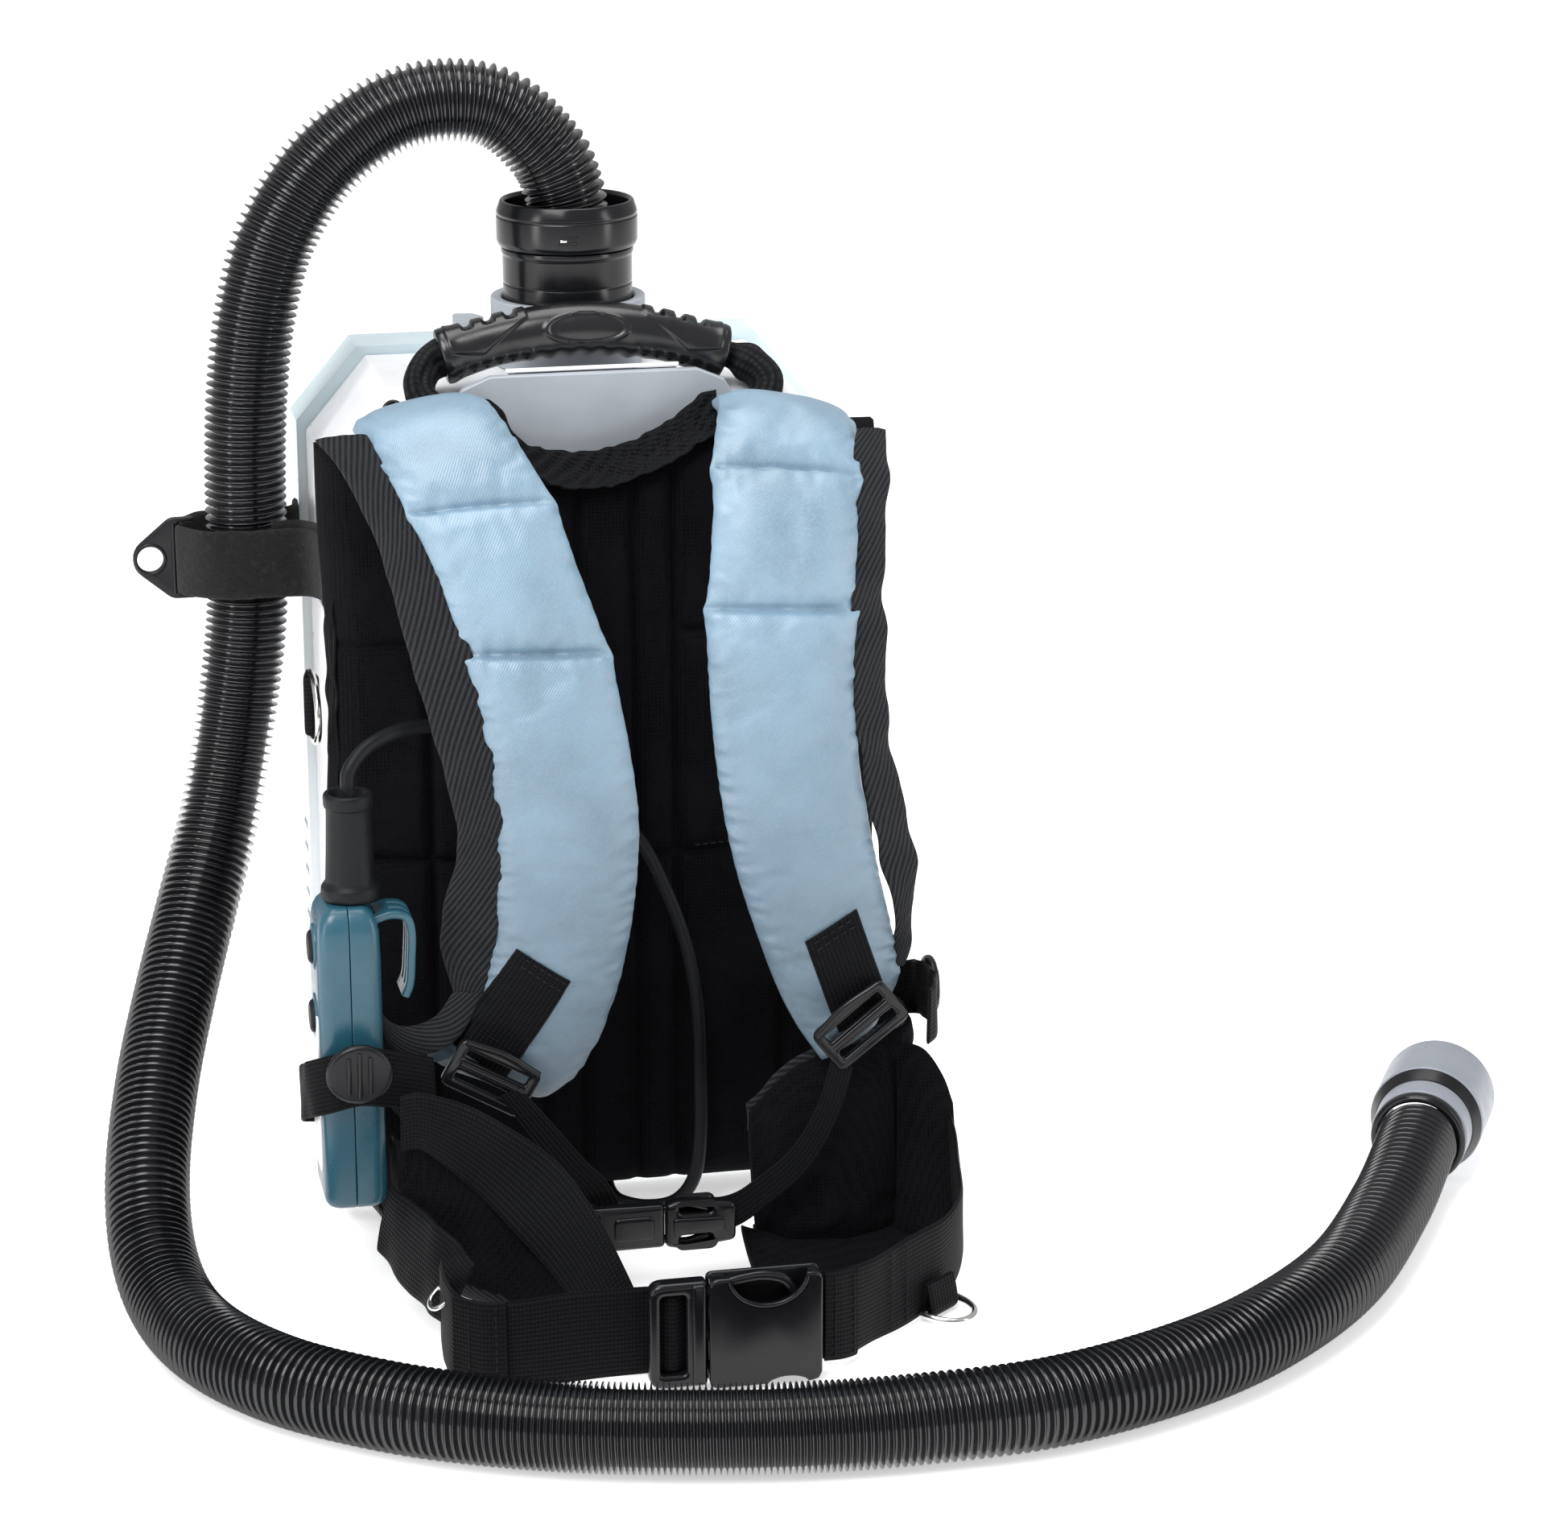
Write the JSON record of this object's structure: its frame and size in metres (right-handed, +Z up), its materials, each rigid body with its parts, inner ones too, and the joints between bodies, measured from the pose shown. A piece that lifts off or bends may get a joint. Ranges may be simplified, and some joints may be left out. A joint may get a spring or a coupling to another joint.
{
  "type": "backpack vacuum cleaner",
  "caption": "Cordless backpack vacuum: casing with dust bag, fan and slide-in batteries, padded harness, waist belt, switch unit and flexible hose.",
  "frame": {"origin": "on the floor, at the centre of the footprint of the object without its hose and cable", "axes": "+Z up, -Y towards the wearer's side of the harness, +X to the right when the harness is looked at"},
  "size_m": [0.6295, 0.4612, 0.492],
  "materials": {
    "shell_white": "white moulded shell",
    "shell_blue": "pale blue moulded shell",
    "grey_plastic": "light grey moulded plastic",
    "black_gloss": "glossy black plastic",
    "black_plastic": "fine-grained black plastic",
    "hose_plastic": "flexible glossy black hose",
    "teal_plastic": "dark teal moulded plastic",
    "rubber": "dark grey rubber",
    "strap_satin": "blue satin-weave nylon",
    "mesh_fabric": "black spacer mesh",
    "webbing": "black ribbed webbing",
    "hook_loop": "black loop pile",
    "metal": "bright steel",
    "bag_paper": "filter paper",
    "filter_white": "pleated filter fleece",
    "board_green": "circuit board"
  },
  "bodies": {
    "root": {"front_shell": "shell_white", "rear_shell": "shell_blue", "door_hinge_pin": "metal", "battery_dock": "grey_plastic", "control_board": "board_green", "bag_plate": "bag_paper", "dust_bag": "bag_paper", "filter_element": "filter_white", "motor_deck": "grey_plastic", "fan_cover": "grey_plastic", "motor_can": "metal", "inlet_flange": "grey_plastic", "hose_ferrule": "black_plastic", "hose": "hose_plastic", "hose_end_ring": "black_plastic", "hose_end_cuff": "grey_plastic", "hose_band": "hook_loop", "harness_plate": "grey_plastic", "back_pad": "mesh_fabric", "shoulder_strap_left": "strap_satin", "shoulder_strap_right": "strap_satin", "strap_webbing_left": "webbing", "strap_webbing_right": "webbing", "side_adjuster_left": "black_plastic", "side_adjuster_right": "black_plastic", "hip_pad_left": "mesh_fabric", "hip_pad_right": "mesh_fabric", "belt_webbing_left": "webbing", "belt_webbing_right": "webbing", "belt_socket": "black_gloss", "chest_webbing_left": "webbing", "chest_webbing_right": "webbing", "chest_socket": "black_plastic", "switch_case_outer": "teal_plastic", "switch_case_inner": "teal_plastic", "switch_boot": "rubber", "switch_cable": "rubber"},
    "inlet_cuff": {"inlet_tube": "black_gloss", "inlet_collar": "black_gloss"},
    "lock_lever": {"lock_lever": "grey_plastic"},
    "dust_door": {"dust_door": "shell_blue"},
    "door_latch": {"door_latch": "grey_plastic"},
    "battery_left": {"battery_left": "black_plastic"},
    "battery_right": {"battery_right": "black_plastic"},
    "battery_button_left": {"battery_button_left": "teal_plastic"},
    "battery_button_right": {"battery_button_right": "teal_plastic"},
    "fan_rotor": {"impeller": "grey_plastic", "motor_shaft": "metal"},
    "power_button": {"power_button": "rubber"},
    "mode_button": {"mode_button": "rubber"},
    "side_ring": {"side_ring": "metal"},
    "belt_ring": {"belt_ring": "metal"},
    "belt_plug": {"belt_plug": "black_gloss"},
    "chest_plug": {"chest_plug": "black_plastic"},
    "ladder_lock_left": {"ladder_lock_left": "black_plastic"},
    "ladder_lock_right": {"ladder_lock_right": "black_plastic"},
    "band_ring": {"band_ring": "black_plastic"},
    "carry_grip": {"grip": "black_plastic", "grip_webbing": "webbing"}
  },
  "joints": [
    {"name": "inlet_cuff_swivel", "type": "hinge", "parent": "root", "child": "inlet_cuff", "pos_m": [0.0248, 0.10175, 0.4], "axis": [0, 0, 1], "continuous": true},
    {"name": "lock_lever_turn", "type": "hinge", "parent": "root", "child": "lock_lever", "pos_m": [-0.0192, 0.11575, 0.378], "axis": [0, 0, -1], "range_deg": [0, 35]},
    {"name": "dust_door_open", "type": "hinge", "parent": "root", "child": "dust_door", "pos_m": [0.0248, 0.17825, 0.1415], "axis": [-1, 0, 0], "range_deg": [0, 100]},
    {"name": "door_latch_lift", "type": "hinge", "parent": "dust_door", "child": "door_latch", "pos_m": [0.0248, 0.18135, 0.312], "axis": [-1, 0, 0], "range_deg": [0, 50]},
    {"name": "battery_left_slide", "type": "slide", "parent": "root", "child": "battery_left", "axis": [0, 1, 0], "range_m": [0, 0.113]},
    {"name": "battery_right_slide", "type": "slide", "parent": "root", "child": "battery_right", "axis": [0, 1, 0], "range_m": [0, 0.113]},
    {"name": "battery_button_left_press", "type": "slide", "parent": "battery_left", "child": "battery_button_left", "axis": [0, -1, 0], "range_m": [0, 0.003], "stiffness_N_per_m": 400},
    {"name": "battery_button_right_press", "type": "slide", "parent": "battery_right", "child": "battery_button_right", "axis": [0, -1, 0], "range_m": [0, 0.003], "stiffness_N_per_m": 400},
    {"name": "fan_spin", "type": "hinge", "parent": "root", "child": "fan_rotor", "pos_m": [0.0248, 0.10175, 0.16], "axis": [0, 0, 1], "continuous": true},
    {"name": "power_button_press", "type": "slide", "parent": "root", "child": "power_button", "axis": [1, 0, 0], "range_m": [0, 0.0015], "stiffness_N_per_m": 600},
    {"name": "mode_button_press", "type": "slide", "parent": "root", "child": "mode_button", "axis": [1, 0, 0], "range_m": [0, 0.0015], "stiffness_N_per_m": 600},
    {"name": "side_ring_swing", "type": "hinge", "parent": "root", "child": "side_ring", "pos_m": [-0.0974, 0.04175, 0.236], "axis": [0, 0, -1], "range_deg": [0, 100]},
    {"name": "belt_ring_swing", "type": "hinge", "parent": "root", "child": "belt_ring", "pos_m": [0.1378, -0.12725, 0.0036], "axis": [-0.7682, -0.6402, 0], "range_deg": [0, 75]},
    {"name": "belt_plug_release", "type": "slide", "parent": "root", "child": "belt_plug", "axis": [-1, 0, 0], "range_m": [0, 0.038]},
    {"name": "chest_plug_release", "type": "slide", "parent": "root", "child": "chest_plug", "axis": [-1, 0, 0], "range_m": [0, 0.024]},
    {"name": "ladder_lock_left_tilt", "type": "hinge", "parent": "root", "child": "ladder_lock_left", "pos_m": [-0.0357, -0.07425, 0.10679], "axis": [-0.866, 0, 0.5], "range_deg": [0, 35]},
    {"name": "ladder_lock_right_tilt", "type": "hinge", "parent": "root", "child": "ladder_lock_right", "pos_m": [0.11014, -0.07425, 0.11699], "axis": [-0.7771, 0, -0.6293], "range_deg": [0, 35]},
    {"name": "band_ring_swing", "type": "hinge", "parent": "root", "child": "band_ring", "pos_m": [-0.1437, 0.09975, 0.282], "axis": [0, 0, 1], "range_deg": [-20, 20]},
    {"name": "carry_grip_fold", "type": "hinge", "parent": "root", "child": "carry_grip", "pos_m": [0.0248, 0.03675, 0.359], "axis": [1, 0, 0], "range_deg": [-6, 38]}
  ]
}
